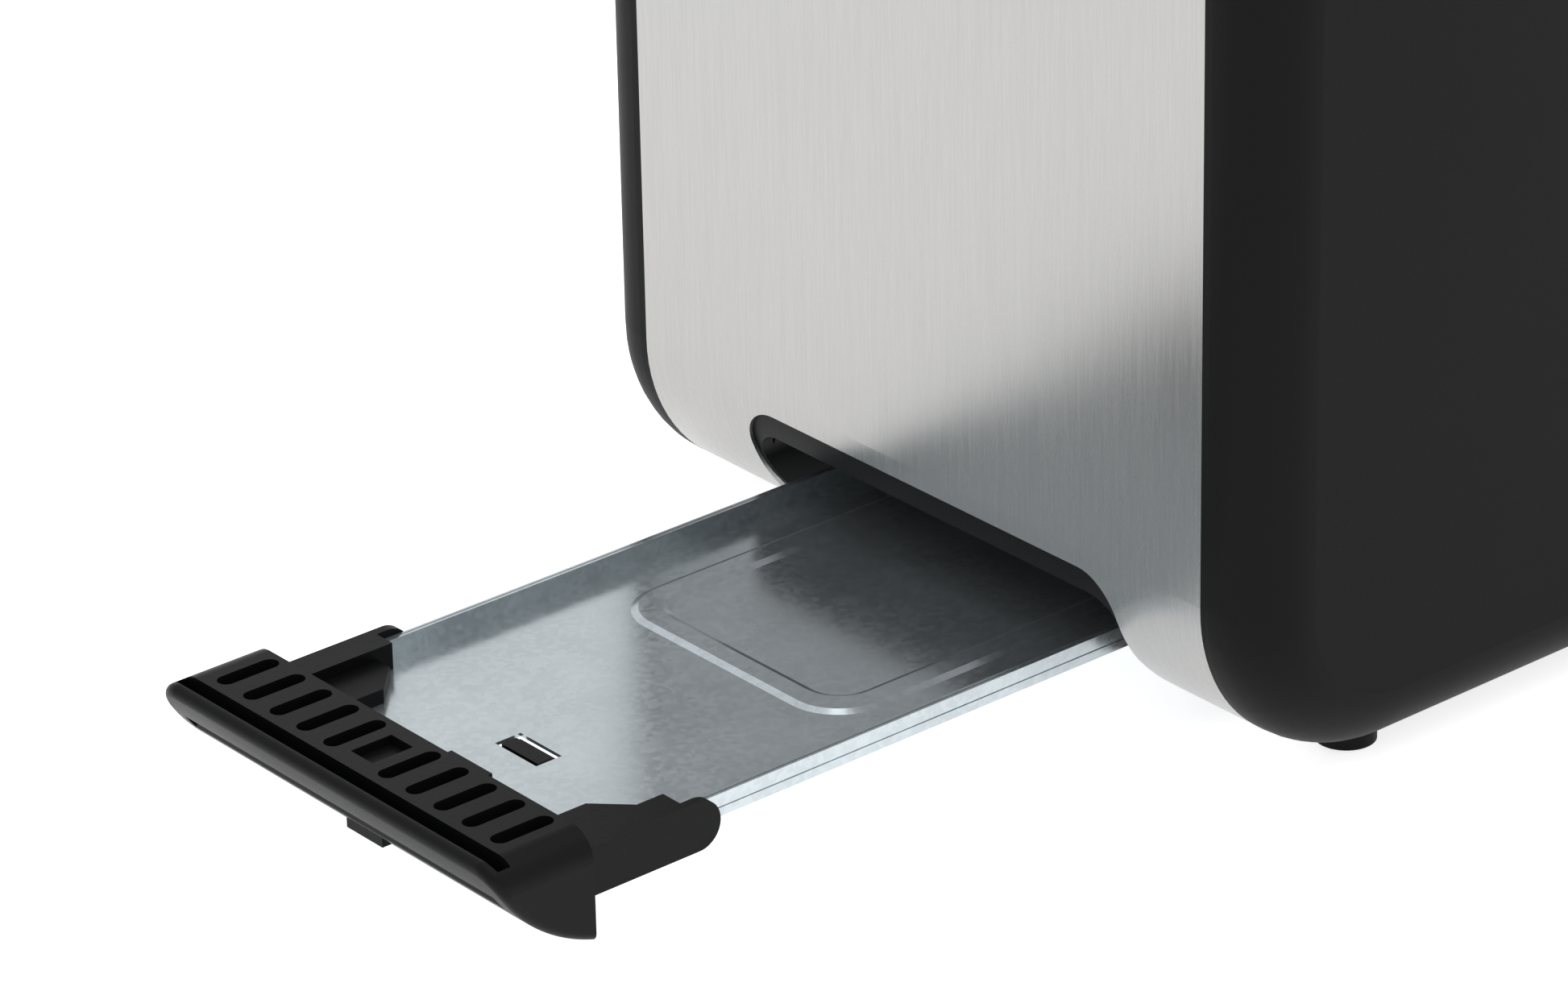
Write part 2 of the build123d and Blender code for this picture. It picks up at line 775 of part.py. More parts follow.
def potentiometer():
    """Browning control body on the board."""
    x = out(board_place) + board_thickness
    pot = block((x, x + 7), (control_side - 8, control_side + 8), (dial_height - 8, dial_height + 8))
    pot += along_x(x + 7, control_side, dial_height, 4.5, 4)
    return pot - along_x(x + 3, control_side, dial_height, shaft_radius + 0.06, 9)


def dial_shaft():
    start = out(board_place) + board_thickness + 3.3
    end = half_length + fascia_thickness + 10
    return along_x(start, control_side, dial_height, shaft_radius, end - start)


def browning_knob():
    """Round knob with a raised pointer bar."""
    x = half_length + fascia_thickness + 0.6
    knob = along_x(x, control_side, dial_height, dial_radius, 12)
    knob = fillet(knob.faces().sort_by(Axis.X)[-1].edges(), 1.5)
    knob += block((x + 11, x + 14), (control_side - 1.5, control_side + 1.5),
                  (dial_height - 11, dial_height + 11))
    depth = half_length + fascia_thickness + 10 - x
    return knob - along_x(x - 1, control_side, dial_height, shaft_radius, depth + 1)


def push_button(z):
    """Push button with a retaining flange and a stem to its switch."""
    wide, high = button_size
    back = half_length - clearance
    cap = block((back - 1, half_length + fascia_thickness + 2.5),
                (control_side - wide / 2, control_side + wide / 2), (z - high / 2, z + high / 2))
    cap = fillet(cap.edges().filter_by(Axis.X), 2)
    cap = fillet(cap.faces().sort_by(Axis.X)[-1].edges(), 0.8)
    flange = block((back - 1.4, back), (control_side - wide / 2 - 1.5, control_side + wide / 2 + 1.5),
                   (z - high / 2 - 1.5, z + high / 2 + 1.5))
    start = switch_tip() + button_travel + clearance
    return cap + flange + along_x(start, control_side, z, 2.0, back - 1 - start)


def switch_tip():
    return out(board_place) + board_thickness + 6.2


def button_switches():
    """Small switches on the board, one behind each button."""
    x = out(board_place) + board_thickness
    switches = []
    for z in button_heights:
        body = block((x, x + 4.7), (control_side - 3, control_side + 3), (z - 3, z + 3))
        switches.append(body + along_x(x + 4.7, control_side, z, 1.6, 1.5))
    return Compound(switches)


def indicator_lenses():
    """Light pipes beside the buttons."""
    start = half_length
    return Compound([
        along_x(start, control_side + 13, z, 1.5, fascia_thickness + 0.5) for z in button_heights
    ])


def power_switch():
    """Mains contact block beside the rod."""
    x = out(rod_place) + 8
    return block((x, out(-body_length + base_inset + 1)), (-12, -2), (ground_gap, 22))


def terminal_block():
    """Screw terminals where the supply leads end."""
    x = out(rod_place) - 6
    body = block((x, x + 14), (44, 60), (ground_gap, 18))
    for y in (48.0, 56.0):
        body -= upright(x + 7, y, 14, 2, 6)
    return body


def cord_gland():
    """Bush in the lever end where the supply cord leaves."""
    x = half_length
    flange = gland_radius + 2.5
    gland = along_x(x, gland_side, gland_height, flange, 2.5)
    gland += along_x(x - sheet - 6, gland_side, gland_height, gland_radius, sheet + 6)
    gland += along_x(x - sheet - 2, gland_side, gland_height, gland_radius + 1.2, 2)
    return gland - along_x(x - 10, gland_side, gland_height, cord_bore, 16)


def save(name, shape):
    """Write one part in the shared frame, whose X = 0 is the middle of the whole pose."""
    export_step(Pos(origin_shift, 0, 0) * shape, f"parts/{name}.step")


def main():
    save("front_cover", end_cover(-1))
    save("rear_cover", end_cover(1))
    save("top_cover", top_cover())
    save("side_panel_near", side_panel(-1))
    save("side_panel_far", side_panel(1))
    save("panel_screws", panel_screws())
    save("tray_bezel", tray_bezel())
    save("base_plate", base_plate())
    save("foot_pads", foot_pads())
    save("crumb_tray", crumb_tray())
    save("tray_handle", tray_handle())
    save("tray_rails", tray_rails())
    for side, label in ((-1, "near"), (1, "far")):
        save(f"bread_slot_trim_{label}", bread_slot_trim(side))
        save(f"reflector_{label}", reflector(side))
        save(f"heater_card_{label}", heater_card(side * card_place))
        save(f"element_{label}", element(side * card_place, (-side,)))
        save(f"bread_lifter_{label}", bread_lifter(side))
    save("heater_card_centre", heater_card(0))
    save("element_centre", element(0, (-1, 1)))
    labels = ("near_outer", "near_inner", "far_inner", "far_outer")
    for (y, _), label in zip(sorted(guard_places()), labels):
        save(f"bread_guard_{label}", bread_guard(y))
    save("chassis_front", chassis_front())
    save("chassis_rear", chassis_rear())
    save("chassis_top", chassis_top())
    save("carriage", carriage())
    save("latch_plate", latch_plate())
    save("lever_arm", lever_arm())
    save("lever_knob", lever_knob())
    save("guide_rod", guide_rod())
    save("lift_spring", lift_spring())
    save("electromagnet_core", electromagnet_core())
    save("electromagnet_coil", electromagnet_coil())
    save("control_fascia", control_fascia())
    save("control_board", control_board())
    save("board_screws", board_screws())
    save("potentiometer", potentiometer())
    save("dial_shaft", dial_shaft())
    save("browning_knob", browning_knob())
    for name, z in zip(button_names, button_heights):
        save(name, push_button(z))
    save("button_switches", button_switches())
    save("indicator_lenses", indicator_lenses())
    save("power_switch", power_switch())
    save("terminal_block", terminal_block())
    save("cord_gland", cord_gland())


main()
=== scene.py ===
# Pop up toaster with its crumb tray pulled out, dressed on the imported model's frame. Metres.
import json
import math

import bpy
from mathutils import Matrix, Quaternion, Vector


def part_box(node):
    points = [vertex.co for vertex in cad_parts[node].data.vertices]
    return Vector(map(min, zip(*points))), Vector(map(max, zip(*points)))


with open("model.json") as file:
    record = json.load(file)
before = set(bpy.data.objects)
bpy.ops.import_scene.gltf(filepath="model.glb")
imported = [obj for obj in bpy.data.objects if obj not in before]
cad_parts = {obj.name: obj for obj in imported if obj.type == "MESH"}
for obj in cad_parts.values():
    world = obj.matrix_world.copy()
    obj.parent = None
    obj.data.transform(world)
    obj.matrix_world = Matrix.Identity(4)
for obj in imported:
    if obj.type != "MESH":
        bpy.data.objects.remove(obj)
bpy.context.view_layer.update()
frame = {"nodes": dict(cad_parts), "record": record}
bpy.ops.object.select_all(action="DESELECT")


class Wire:
    # a socket's output that can be added, taken away, multiplied and so on
    def __init__(self, look, socket):
        self.look = look
        self.socket = socket

    def sum(self, operation, *parts):
        return self.look.node("ShaderNodeMath", {"operation": operation}, dict(enumerate(parts)))

    def __add__(self, other):
        return self.sum("ADD", self, other)

    def __radd__(self, other):
        return self.sum("ADD", other, self)

    def __sub__(self, other):
        return self.sum("SUBTRACT", self, other)

    def __rsub__(self, other):
        return self.sum("SUBTRACT", other, self)

    def __mul__(self, other):
        return self.sum("MULTIPLY", self, other)

    def __rmul__(self, other):
        return self.sum("MULTIPLY", other, self)

class Look:
    # one node tree, with short calls for the patterns the finishes use
    def __init__(self, tree):
        self.tree = tree

    def feed(self, socket, value):
        if isinstance(value, Wire):
            self.tree.links.new(value.socket, socket)
        else:
            socket.default_value = value

    def node(self, kind, settings=None, sockets=None, out=0):
        made = self.tree.nodes.new(kind)
        for key, value in (settings or {}).items():
            setattr(made, key, value)
        for key, value in (sockets or {}).items():
            self.feed(made.inputs[key], value)
        return Wire(self, made.outputs[out])

    def spot(self):
        return self.node("ShaderNodeTexCoord", out="Object")

    def stretch(self, where, scale):
        return self.node("ShaderNodeVectorMath", {"operation": "MULTIPLY"}, {0: where, 1: scale})

    def noise(self, where, scale, detail=2.0, roughness=0.5):
        return self.node("ShaderNodeTexNoise", sockets={
            "Vector": where, "Scale": scale, "Detail": detail, "Roughness": roughness})

    def around(self, value, amount):
        # a small swing either side of nothing, from a pattern that runs from 0 to 1
        return amount * (value - 0.5)

    def cells(self, where, scale, feature="F1", out="Color"):
        return self.node("ShaderNodeTexVoronoi", {"feature": feature},
                         {"Vector": where, "Scale": scale}, out)

    def axis(self, where, name):
        return self.node("ShaderNodeSeparateXYZ", sockets={0: where}, out=name)

    def ramp(self, value, low, high):
        # inputs 1 to 4 are the range read and the range given
        return self.node("ShaderNodeMapRange", {"interpolation_type": "SMOOTHSTEP"},
                         {0: value, 1: low, 2: high, 3: 0.0, 4: 1.0})

    def blend(self, share, first, second):
        # inputs 6 and 7 and output 2 are a Mix node's colours
        return self.node("ShaderNodeMix", {"data_type": "RGBA"}, {0: share, 6: first, 7: second}, 2)

    def bump(self, height, strength, distance):
        return self.node("ShaderNodeBump", sockets={
            "Strength": strength, "Distance": distance, "Height": height})


class Finish(Look):
    # a material with one glossy shader
    def __init__(self, name):
        self.material = bpy.data.materials.new(name)
        self.material.use_nodes = True
        super().__init__(self.material.node_tree)
        self.shader = self.tree.nodes["Principled BSDF"]

    def set(self, **sockets):
        for name, value in sockets.items():
            self.feed(self.shader.inputs[socketNames[name]], value)
        return self.material


socketNames = {
    "colour": "Base Color", "metal": "Metallic", "rough": "Roughness", "normal": "Normal",
    "coat": "Coat Weight", "coatRough": "Coat Roughness", "specular": "Specular IOR Level",
    "through": "Transmission Weight", "ior": "IOR", "glow": "Emission Color",
    "glowStrength": "Emission Strength",
}


def rgb(colour, factor=1.0):
    return (colour[0] * factor, colour[1] * factor, colour[2] * factor, 1.0)


# steel covers: fine brushing up the ends and along the top
brushedSteel = {
    "colour": (0.385, 0.382, 0.375),
    "warmer": (0.368, 0.360, 0.349),
    "grain": (60.0, 3000.0, 60.0),      # stretch of the brush lines, per metre
    "finerBy": 2.7,
    "broad": (10.0, 420.0, 10.0),
    "cloudScale": 9.0,
    "fineShare": 0.55,                  # the finer lines have the rest
    "lineLevels": (0.34, 0.66),
    "darkLine": 0.92,
    "lightLine": 1.07,
    "lineShare": 0.55,
    "roughness": 0.27,
    "lineRoughness": 0.10,
    "cloudRoughness": 0.05,
    "broadBump": 0.3,
    "bumpStrength": 0.22,
    "grainDepth": 0.000012,
}


def makeBrushedSteel(name, spec):
    finish = Finish(name)
    spot = finish.spot()
    fine = finish.noise(finish.stretch(spot, spec["grain"]), 1.0, 3.0, 0.6)
    finerGrain = tuple(spec["finerBy"] * scale for scale in spec["grain"])
    finer = finish.noise(finish.stretch(spot, finerGrain), 1.0)
    broad = finish.noise(finish.stretch(spot, spec["broad"]), 1.0)
    cloud = finish.noise(spot, spec["cloudScale"])
    lines = spec["fineShare"] * fine + (1.0 - spec["fineShare"]) * finer
    tone = finish.blend(cloud, rgb(spec["colour"]), rgb(spec["warmer"]))
    brushed = finish.blend(finish.ramp(lines, *spec["lineLevels"]),
                           rgb(spec["colour"], spec["darkLine"]), rgb(spec["colour"], spec["lightLine"]))
    colour = finish.blend(spec["lineShare"], tone, brushed)
    rough = spec["roughness"] + finish.around(lines, spec["lineRoughness"])
    rough = rough + finish.around(broad, spec["cloudRoughness"])
    rough = rough + finish.around(cloud, spec["cloudRoughness"])
    normal = finish.bump(lines + spec["broadBump"] * broad, spec["bumpStrength"], spec["grainDepth"])
    return finish.set(colour=colour, metal=1.0, rough=rough, normal=normal)


# crumb tray: galvanised sheet with fine spangle
galvanisedSheet = {
    "colour": (0.500, 0.552, 0.580),
    "metal": 0.86,                      # the zinc's dull share shows as a blue-grey in its shadows
    "roughness": 0.21,
    "spangle": 900.0,
    "spangleLevels": (0.2, 0.9),
    "spangleShare": 0.16,
    "bright": 1.5,
    "dustScale": 2600.0,
    "dustLevels": (0.55, 0.8),
    "dustShare": 0.20,
    "dull": 0.45,
    "bloom": 60.0,
    "bloomLevels": (0.3, 0.72),
    "bloomTones": (0.94, 1.05),
    "rolling": (14.0, 420.0, 420.0),
    "spangleRoughness": 0.05,
    "bloomRoughness": 0.02,
    "rollingRoughness": 0.03,
    "grainBump": 0.5,
    "rollingBump": 0.8,
    "bumpStrength": 0.12,
    "depth": 0.00002,
}


def makeGalvanised(name, spec):
    finish = Finish(name)
    spot = finish.spot()
    speck = finish.axis(finish.cells(spot, spec["spangle"]), "X")
    dust = finish.noise(spot, spec["dustScale"], 2.0, 0.6)
    rolled = finish.noise(finish.stretch(spot, spec["rolling"]), 1.0)
    patch = finish.ramp(finish.noise(spot, spec["bloom"], 4.0, 0.6), *spec["bloomLevels"])
    darker, lighter = spec["bloomTones"]
    colour = finish.blend(patch, rgb(spec["colour"], darker), rgb(spec["colour"], lighter))
    spangles = spec["spangleShare"] * finish.ramp(speck, *spec["spangleLevels"])
    colour = finish.blend(spangles, colour, rgb(spec["colour"], spec["bright"]))
    specks = spec["dustShare"] * finish.ramp(dust, *spec["dustLevels"])
    colour = finish.blend(specks, colour, rgb(spec["colour"], spec["dull"]))
    rough = spec["roughness"] + finish.around(speck, spec["spangleRoughness"])
    rough = rough + finish.around(patch, spec["bloomRoughness"])
    rough = rough + finish.around(rolled, spec["rollingRoughness"])
    height = spec["grainBump"] * speck + spec["grainBump"] * dust + spec["rollingBump"] * rolled
    return finish.set(colour=colour, metal=spec["metal"], rough=rough,
                      normal=finish.bump(height, spec["bumpStrength"], spec["depth"]))


# moulded plastics
panelPlastic = {"colour": (0.0045, 0.0045, 0.0047), "roughness": 0.50, "grain": 2300.0,
                "depth": 0.00004, "specular": 0.08, "scuffs": 0.10}
handlePlastic = {"colour": (0.0042, 0.0043, 0.0046), "roughness": 0.40, "grain": 1700.0,
                 "depth": 0.00004, "specular": 0.10, "scuffs": 0.25}
controlPlastic = {"colour": (0.013, 0.013, 0.0135), "roughness": 0.36, "grain": 1900.0,
                  "depth": 0.00003, "specular": 0.45, "scuffs": 0.12}
buttonPlastic = {"colour": (0.055, 0.055, 0.058), "roughness": 0.34, "grain": 2100.0,
                 "depth": 0.00002, "specular": 0.5, "scuffs": 0.10}
componentPlastic = {"colour": (0.030, 0.030, 0.033), "roughness": 0.46, "grain": 1500.0,
                    "depth": 0.00003, "specular": 0.5, "scuffs": 0.15}
padRubber = {"colour": (0.010, 0.010, 0.010), "roughness": 0.74, "grain": 1200.0,
             "depth": 0.00008, "specular": 0.35, "scuffs": 0.35}


mouldedSkin = {                         # what every plastic and the rubber share
    "pitScale": 0.6,                    # times the grain
    "cloudScale": 24.0,
    "scratches": (90.0, 1300.0, 900.0),
    "scratchLevels": (0.62, 0.78),
    "wornLevels": (0.45, 0.7),
    "tones": (0.88, 1.14),
    "scuffTone": 3.2,
    "cloudRoughness": 0.10,
    "grainRoughness": 0.08,
    "wornRoughness": 0.10,
    "pitBump": 0.6,
    "bumpStrength": 0.35,
}


def makePlastic(name, spec):
    skin = mouldedSkin
    finish = Finish(name)
    spot = finish.spot()
    grain = finish.noise(spot, spec["grain"], 3.0, 0.55)
    pits = finish.cells(spot, skin["pitScale"] * spec["grain"], out="Distance")
    cloud = finish.noise(spot, skin["cloudScale"], 3.0, 0.55)
    scratch = finish.noise(finish.stretch(spot, skin["scratches"]), 1.0)
    worn = finish.ramp(scratch, *skin["scratchLevels"]) * finish.ramp(cloud, *skin["wornLevels"])
    darker, lighter = skin["tones"]
    base = finish.blend(cloud, rgb(spec["colour"], darker), rgb(spec["colour"], lighter))
    colour = finish.blend(spec["scuffs"] * worn, base, rgb(spec["colour"], skin["scuffTone"]))
    rough = spec["roughness"] + finish.around(cloud, skin["cloudRoughness"])
    rough = rough + finish.around(grain, skin["grainRoughness"]) + skin["wornRoughness"] * worn
    normal = finish.bump(grain + skin["pitBump"] * pits, skin["bumpStrength"], spec["depth"])
    return finish.set(colour=colour, rough=rough, normal=normal, specular=spec["specular"])


# inner sheet metal, wire and iron
chassisSteel = {"colour": (0.42, 0.425, 0.43), "roughness": 0.36, "lines": (18.0, 700.0, 40.0),
                "stain": 0.25}
reflectorSheet = {"colour": (0.74, 0.75, 0.76), "roughness": 0.16, "lines": (9.0, 300.0, 500.0),
                  "stain": 0.12}
platedWire = {"colour": (0.60, 0.60, 0.61), "roughness": 0.20, "lines": (300.0, 300.0, 300.0),
              "stain": 0.18}
zincScrew = {"colour": (0.52, 0.53, 0.52), "roughness": 0.30, "lines": (900.0, 900.0, 900.0),
             "stain": 0.20}
bareIron = {"colour": (0.17, 0.17, 0.175), "roughness": 0.50, "lines": (400.0, 400.0, 400.0),
            "stain": 0.55}
metalSkin = {                           # what every plain metal shares
    "cloudScale": 38.0,
    "speckScale": 1100.0,
    "stainLevels": (0.48, 0.75),
    "stainColour": (0.30, 0.21, 0.12),
    "tones": (0.88, 1.10),
    "lineRoughness": 0.16,
    "stainRoughness": 0.5,
    "speckBump": 0.3,
    "bumpStrength": 0.25,
    "depth": 0.00003,
}


def makeSheetMetal(name, spec):
    skin = metalSkin
    finish = Finish(name)
    spot = finish.spot()
    lines = finish.noise(finish.stretch(spot, spec["lines"]), 1.0, 3.0, 0.55)
    cloud = finish.noise(spot, skin["cloudScale"], 4.0, 0.6)
    specks = finish.cells(spot, skin["speckScale"], out="Distance")
    stain = spec["stain"] * finish.ramp(cloud, *skin["stainLevels"])
    darker, lighter = skin["tones"]
    base = finish.blend(lines, rgb(spec["colour"], darker), rgb(spec["colour"], lighter))
    colour = finish.blend(stain, base, rgb(skin["stainColour"]))
    rough = spec["roughness"] + finish.around(lines, skin["lineRoughness"]) + skin["stainRoughness"] * stain
    normal = finish.bump(lines + skin["speckBump"] * specks, skin["bumpStrength"], skin["depth"])
    return finish.set(colour=colour, metal=1.0, rough=rough, normal=normal)


# heater: mica cards and oxidised ribbon
micaCard = {
    "light": (0.50, 0.42, 0.28),
    "dark": (0.26, 0.20, 0.12),
    "scorched": (0.10, 0.065, 0.035),
    "flake": 260.0,
    "flakeStretch": (1.0, 0.3, 1.4),
    "scorchScale": 20.0,
    "scorchLevels": (0.5, 0.8),
    "scorchShare": 0.5,
    "roughness": 0.36,
    "flakeRoughness": 0.22,
    "gloss": 0.25,
    "glossRoughness": 0.2,
    "bumpStrength": 0.35,
    "depth": 0.00006,
}


def makeMica(name, spec):
    finish = Finish(name)
    spot = finish.spot()
    flakes = finish.cells(finish.stretch(spot, spec["flakeStretch"]), spec["flake"])
    tone = finish.axis(flakes, "X")
    layer = finish.axis(flakes, "Y")
    scorch = finish.noise(spot, spec["scorchScale"], 4.0, 0.6)
    base = finish.blend(tone, rgb(spec["dark"]), rgb(spec["light"]))
    share = spec["scorchShare"] * finish.ramp(scorch, *spec["scorchLevels"])
    colour = finish.blend(share, base, rgb(spec["scorched"]))
    rough = spec["roughness"] + spec["flakeRoughness"] * layer
    return finish.set(colour=colour, rough=rough, coat=spec["gloss"] * tone, coatRough=spec["glossRoughness"],
                      normal=finish.bump(layer, spec["bumpStrength"], spec["depth"]))


heaterRibbon = {
    "colour": (0.22, 0.19, 0.17),
    "blued": (0.10, 0.12, 0.19),
    "browned": (0.26, 0.15, 0.08),
    "tint": (36.0, 10.0, 90.0),
    "bluedLevels": (0.35, 0.55),
    "brownedLevels": (0.55, 0.75),
    "oxideScale": 1600.0,
    "metal": 0.85,
    "roughness": 0.40,
    "oxideRoughness": 0.25,
    "bumpStrength": 0.3,
    "depth": 0.00003,
}


def makeRibbon(name, spec):
    finish = Finish(name)
    spot = finish.spot()
    tint = finish.noise(finish.stretch(spot, spec["tint"]), 1.0, 3.0, 0.6)
    oxide = finish.noise(spot, spec["oxideScale"], 3.0, 0.6)
    base = finish.blend(finish.ramp(tint, *spec["bluedLevels"]), rgb(spec["colour"]), rgb(spec["blued"]))
    colour = finish.blend(finish.ramp(tint, *spec["brownedLevels"]), base, rgb(spec["browned"]))
    rough = spec["roughness"] + spec["oxideRoughness"] * oxide
    return finish.set(colour=colour, metal=spec["metal"], rough=rough,
                      normal=finish.bump(oxide, spec["bumpStrength"], spec["depth"]))


# electrics
copperWinding = {
    "colour": (0.46, 0.16, 0.055),
    "turns": 1850.0,                    # per metre
    # painted shade in the grooves between turns and painted highlight on their crowns
    "tones": (0.35, 1.1),
    "bright": 1.5,
    "cloudScale": 130.0,
    "cloudShare": 0.3,
    "metal": 0.8,
    "roughness": 0.28,
    "cloudRoughness": 0.12,
    "varnish": 0.5,
    "varnishCloud": 0.2,
    "varnishRoughness": 0.1,
    "bumpStrength": 0.7,
    "depth": 0.00016,
}


def makeWinding(name, spec):
    finish = Finish(name)
    spot = finish.spot()
    turns = finish.axis(spot, "Z") * spec["turns"]
    ridgeAndPaintedShade = turns.sum("PINGPONG", turns, 1.0)
    cloud = finish.noise(spot, spec["cloudScale"])
    darker, lighter = spec["tones"]
    # the colour is darker in the grooves between turns and lighter on their crowns: painted shade and painted
    # highlight
    colour = finish.blend(ridgeAndPaintedShade, rgb(spec["colour"], darker), rgb(spec["colour"], lighter))
    colour = finish.blend(spec["cloudShare"] * cloud, colour, rgb(spec["colour"], spec["bright"]))
    rough = spec["roughness"] + spec["cloudRoughness"] * cloud
    return finish.set(colour=colour, metal=spec["metal"], rough=rough,
                      coat=spec["varnish"] + spec["varnishCloud"] * cloud, coatRough=spec["varnishRoughness"],
                      normal=finish.bump(ridgeAndPaintedShade, spec["bumpStrength"], spec["depth"]))


solderMask = {
    "mask": (0.018, 0.11, 0.040),
    "track": (0.035, 0.17, 0.060),
    "pad": (0.62, 0.60, 0.55),
    "flatten": (0.0, 1.0, 1.0),         # the pattern doesn't change through the board
    "trackScale": 190.0,
    "trackLevels": (0.05, 0.09),
    "padScale": 330.0,
    "padLevels": (0.10, 0.13),
    "weaveScale": 900.0,
    "roughness": 0.24,
    "weaveRoughness": 0.10,
    "padRoughness": 0.12,
    "lacquer": 0.4,
    "lacquerRoughness": 0.08,
    "weaveBump": 0.2,
    "bumpStrength": 0.3,
    "depth": 0.00004,
}


def makeBoard(name, spec):
    finish = Finish(name)
    spot = finish.spot()
    flat = finish.stretch(spot, spec["flatten"])
    tracks = finish.cells(flat, spec["trackScale"], "DISTANCE_TO_EDGE", "Distance")
    dots = finish.cells(flat, spec["padScale"], out="Distance")
    weave = finish.noise(spot, spec["weaveScale"])
    line = 1.0 - finish.ramp(tracks, *spec["trackLevels"])
    pad = 1.0 - finish.ramp(dots, *spec["padLevels"])
    base = finish.blend(line, rgb(spec["mask"]), rgb(spec["track"]))
    colour = finish.blend(pad, base, rgb(spec["pad"]))
    rough = spec["roughness"] + spec["weaveRoughness"] * weave + spec["padRoughness"] * pad
    height = line + pad + spec["weaveBump"] * weave
    return finish.set(colour=colour, metal=pad, rough=rough,
                      coat=spec["lacquer"] * (1.0 - pad), coatRough=spec["lacquerRoughness"],
                      normal=finish.bump(height, spec["bumpStrength"], spec["depth"]))


lightPipe = {
    "colour": (0.72, 0.12, 0.03),
    "tones": (0.8, 1.15),
    "hazeScale": 420.0,
    "roughness": 0.16,
    "hazeRoughness": 0.14,
    "through": 0.35,
    "ior": 1.49,
    "bumpStrength": 0.15,
    "depth": 0.00003,
}


def makeLightPipe(name, spec):
    finish = Finish(name)
    haze = finish.noise(finish.spot(), spec["hazeScale"], 3.0, 0.6)
    darker, lighter = spec["tones"]
    colour = finish.blend(haze, rgb(spec["colour"], darker), rgb(spec["colour"], lighter))
    rough = spec["roughness"] + spec["hazeRoughness"] * haze
    return finish.set(colour=colour, rough=rough, through=spec["through"], ior=spec["ior"],
                      normal=finish.bump(haze, spec["bumpStrength"], spec["depth"]))


finishes = {
    "steel_shell": makeBrushedSteel("brushedSteel", brushedSteel),
    "black_panel": makePlastic("panelPlastic", panelPlastic),
    "handle_plastic": makePlastic("handlePlastic", handlePlastic),
    "galvanised_sheet": makeGalvanised("galvanisedSheet", galvanisedSheet),
    "chassis_steel": makeSheetMetal("chassisSteel", chassisSteel),
    "reflector_sheet": makeSheetMetal("reflectorSheet", reflectorSheet),
    "mica": makeMica("micaCard", micaCard),
    "resistance_ribbon": makeRibbon("heaterRibbon", heaterRibbon),
    "guard_wire": makeSheetMetal("platedWire", platedWire),
    "iron_parts": makeSheetMetal("bareIron", bareIron),
    "copper_winding": makeWinding("copperWinding", copperWinding),
    "circuit_board": makeBoard("solderMask", solderMask),
    "component_plastic": makePlastic("componentPlastic", componentPlastic),
    "control_plastic": makePlastic("controlPlastic", controlPlastic),
    "button_plastic": makePlastic("buttonPlastic", buttonPlastic),
    "light_pipe": makeLightPipe("lightPipe", lightPipe),
    "rubber_pad": makePlastic("padRubber", padRubber),
    "screw_steel": makeSheetMetal("zincScrew", zincScrew),
}
print("finishes made:", len(finishes))

for part in frame["record"]["subparts"]:
    piece = frame["nodes"][part["node"]]
    piece.data.materials.clear()
    piece.data.materials.append(finishes[part["material_slot"]])


# floor, light and camera
studio = {
    "floorSize": 9.0,
    "floorColour": (0.80, 0.80, 0.80),
    "fibreScale": 700.0,
    "fibreTone": 0.985,
    "floorRoughness": 0.9,
    "floorSpecular": 0.1,
    "floorGlow": 0.95,                        # the floor is a lit table, so shadows on it stay pale
    "skyColour": (1.0, 1.0, 1.0),
    "skyStrength": 0.95,
    "flagColour": (0.92, 0.93, 0.95),         # a pale flag far to the left of the toaster
    "flagDirection": (-0.63, 0.70, 0.34),
    "flagEdge": (0.45, 0.74),
    "lamps": [
        {"name": "overheadSoftbox", "from": (0.25, -0.35, 1.9), "at": (0.0, 0.0, 0.1),
         "size": 1.8, "power": 10.0},
    ],
}


def makeFloor(spec):
    bpy.ops.mesh.primitive_plane_add(size=spec["floorSize"], location=(0.0, 0.0, 0.0))
    floor = bpy.context.object
    floor.name = "floor"
    finish = Finish("palePaper")
    spot = finish.spot()
    fibre = finish.noise(spot, spec["fibreScale"], 3.0)
    colour = finish.blend(fibre, rgb(spec["floorColour"], spec["fibreTone"]), rgb(spec["floorColour"]))
    floor.data.materials.append(finish.set(
        colour=colour, rough=spec["floorRoughness"], specular=spec["floorSpecular"],
        glow=colour, glowStrength=spec["floorGlow"]))


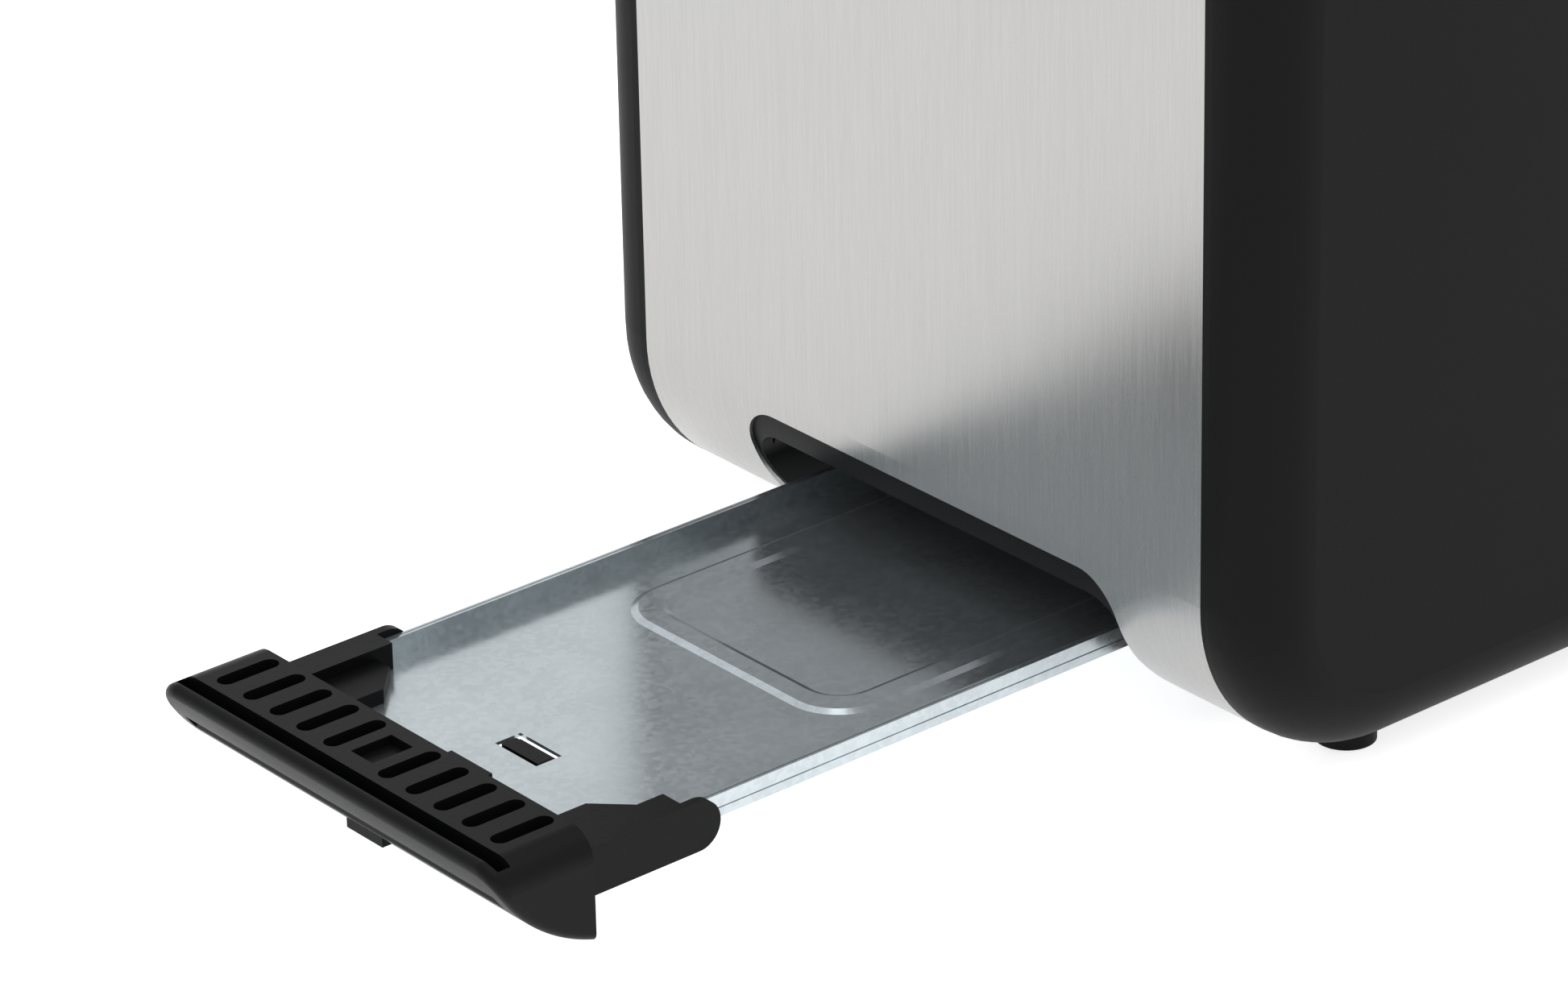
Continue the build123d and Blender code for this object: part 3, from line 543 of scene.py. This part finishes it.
def makeSky(spec):
    world = bpy.data.worlds.new("studio")
    bpy.context.scene.world = world
    world.use_nodes = True
    sky = Look(world.node_tree)
    direction = sky.node("ShaderNodeTexCoord", out="Generated")
    toFlag = tuple(Vector(spec["flagDirection"]).normalized())
    along = sky.node("ShaderNodeVectorMath", {"operation": "DOT_PRODUCT"},
                     {0: direction, 1: toFlag}, "Value")
    seen = sky.node("ShaderNodeLightPath", out="Is Camera Ray")
    shade = sky.ramp(along, *spec["flagEdge"]) * (1.0 - seen)
    colour = sky.blend(shade, rgb(spec["skyColour"]), rgb(spec["flagColour"]))
    background = world.node_tree.nodes["Background"]
    sky.feed(background.inputs["Color"], colour)
    background.inputs["Strength"].default_value = spec["skyStrength"]


def makeLamp(spec):
    lamp = bpy.data.lights.new(spec["name"], "AREA")
    lamp.size = spec["size"]
    lamp.energy = spec["power"]
    holder = bpy.data.objects.new(spec["name"], lamp)
    bpy.context.scene.collection.objects.link(holder)
    holder.location = spec["from"]
    holder.rotation_mode = "QUATERNION"
    holder.rotation_quaternion = (Vector(spec["at"]) - Vector(spec["from"])).to_track_quat("-Z", "Y")


cameraPlace = {
    "out": 0.67520,       # from the tray end face, outwards
    "aside": -0.78060,
    "up": 0.53368,
    "turn": 50.316,       # degrees round from +X
    "down": 25.936,
    "lean": -1.203,
    "lens": 159.35,       # millimetres, as the sensor
    "sensor": 36.0,
    "clip": (0.05, 50.0),
}


def makeCamera(spec):
    turn, down = math.radians(spec["turn"]), math.radians(spec["down"])
    ahead = Vector((math.cos(turn) * math.cos(down), math.sin(turn) * math.cos(down), -math.sin(down)))
    lens = bpy.data.cameras.new("camera")
    lens.lens = spec["lens"]
    lens.sensor_width = spec["sensor"]
    lens.clip_start, lens.clip_end = spec["clip"]
    camera = bpy.data.objects.new("camera", lens)
    bpy.context.scene.collection.objects.link(camera)
    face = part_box("front_cover")[0].x
    camera.location = (face - spec["out"], spec["aside"], spec["up"])
    camera.rotation_mode = "QUATERNION"
    lean = Quaternion((0.0, 0.0, 1.0), math.radians(spec["lean"]))
    camera.rotation_quaternion = ahead.to_track_quat("-Z", "Y") @ lean
    bpy.context.scene.camera = camera


makeFloor(studio)
makeSky(studio)
for lampSpec in studio["lamps"]:
    makeLamp(lampSpec)
makeCamera(cameraPlace)
bpy.context.scene.view_settings.view_transform = "Standard"
print("floor, light and camera in place")
